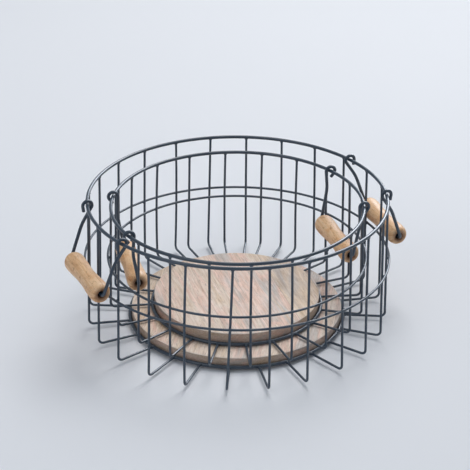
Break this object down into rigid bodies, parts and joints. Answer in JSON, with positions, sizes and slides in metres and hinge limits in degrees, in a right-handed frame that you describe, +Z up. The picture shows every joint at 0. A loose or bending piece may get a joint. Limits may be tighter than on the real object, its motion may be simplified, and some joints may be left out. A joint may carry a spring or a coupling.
{
  "type": "nested wire produce baskets",
  "caption": "Nested pair of round open wire produce baskets with wooden base discs and swinging wire bails that carry turned wooden grips.",
  "frame": {"origin": "centre of the underside of the large base disc, on the surface the pair stands on", "axes": "+Z up, -Y towards the front of the pair, +X to its right"},
  "size_m": [0.4143, 0.3736, 0.1697],
  "materials": {
    "dark_wire": "satin powder coat, dark slate blue-grey",
    "mango_wood": "whitewashed and lightly sanded, matt",
    "grip_wood": "turned and lightly oiled, satin"
  },
  "bodies": {
    "large_basket": {"large_rim": "dark_wire", "large_mid_hoop": "dark_wire", "large_base_ring": "dark_wire", "large_base_disc": "mango_wood", "large_rib_01": "dark_wire", "large_rib_02": "dark_wire", "large_rib_03": "dark_wire", "large_rib_04": "dark_wire", "large_rib_05": "dark_wire", "large_rib_06": "dark_wire", "large_rib_07": "dark_wire", "large_rib_08": "dark_wire", "large_rib_09": "dark_wire", "large_rib_10": "dark_wire", "large_rib_11": "dark_wire", "large_rib_12": "dark_wire", "large_rib_13": "dark_wire", "large_rib_14": "dark_wire", "large_rib_15": "dark_wire", "large_rib_16": "dark_wire", "large_rib_17": "dark_wire", "large_rib_18": "dark_wire", "large_rib_19": "dark_wire", "large_rib_20": "dark_wire", "large_rib_21": "dark_wire", "large_rib_22": "dark_wire", "large_rib_23": "dark_wire", "large_rib_24": "dark_wire"},
    "small_basket": {"small_rim": "dark_wire", "small_mid_hoop": "dark_wire", "small_base_ring": "dark_wire", "small_base_disc": "mango_wood", "small_rib_01": "dark_wire", "small_rib_02": "dark_wire", "small_rib_03": "dark_wire", "small_rib_04": "dark_wire", "small_rib_05": "dark_wire", "small_rib_06": "dark_wire", "small_rib_07": "dark_wire", "small_rib_08": "dark_wire", "small_rib_09": "dark_wire", "small_rib_10": "dark_wire", "small_rib_11": "dark_wire", "small_rib_12": "dark_wire", "small_rib_13": "dark_wire", "small_rib_14": "dark_wire", "small_rib_15": "dark_wire", "small_rib_16": "dark_wire", "small_rib_17": "dark_wire", "small_rib_18": "dark_wire", "small_rib_19": "dark_wire", "small_rib_20": "dark_wire"},
    "large_bail_left": {"large_bail_left": "dark_wire"},
    "large_grip_left": {"large_grip_left": "grip_wood"},
    "large_bail_right": {"large_bail_right": "dark_wire"},
    "large_grip_right": {"large_grip_right": "grip_wood"},
    "small_bail_left": {"small_bail_left": "dark_wire"},
    "small_grip_left": {"small_grip_left": "grip_wood"},
    "small_bail_right": {"small_bail_right": "dark_wire"},
    "small_grip_right": {"small_grip_right": "grip_wood"}
  },
  "joints": [
    {"name": "small_basket_lift_out", "type": "slide", "parent": "large_basket", "child": "small_basket", "axis": [0, 0, 1], "range_m": [0, 0.16]},
    {"name": "large_bail_left_swing", "type": "hinge", "parent": "large_basket", "child": "large_bail_left", "pos_m": [-0.15411, -0.0755, 0.1619], "axis": [-0.4399, 0.898, 0], "range_deg": [0, 155]},
    {"name": "large_grip_left_spin", "type": "hinge", "parent": "large_bail_left", "child": "large_grip_left", "pos_m": [-0.1755, -0.08598, 0.09821], "axis": [0.4399, -0.898, 0], "continuous": true},
    {"name": "large_bail_right_swing", "type": "hinge", "parent": "large_basket", "child": "large_bail_right", "pos_m": [0.16075, 0.0601, 0.1619], "axis": [0.3502, -0.9367, 0], "range_deg": [0, 155]},
    {"name": "large_grip_right_spin", "type": "hinge", "parent": "large_bail_right", "child": "large_grip_right", "pos_m": [0.18305, 0.06844, 0.09821], "axis": [-0.3502, 0.9367, 0], "continuous": true},
    {"name": "small_bail_left_swing", "type": "hinge", "parent": "small_basket", "child": "small_bail_left", "pos_m": [-0.1379, -0.03464, 0.1525], "axis": [0.2436, -0.9699, 0], "range_deg": [0, 166]},
    {"name": "small_grip_left_spin", "type": "hinge", "parent": "small_bail_left", "child": "small_grip_left", "pos_m": [-0.12701, -0.0319, 0.08543], "axis": [0.2436, -0.9699, 0], "continuous": true},
    {"name": "small_bail_right_swing", "type": "hinge", "parent": "small_basket", "child": "small_bail_right", "pos_m": [0.13444, 0.04629, 0.1525], "axis": [-0.3256, 0.9455, 0], "range_deg": [0, 166]},
    {"name": "small_grip_right_spin", "type": "hinge", "parent": "small_bail_right", "child": "small_grip_right", "pos_m": [0.12383, 0.04264, 0.08543], "axis": [-0.3256, 0.9455, 0], "continuous": true}
  ]
}
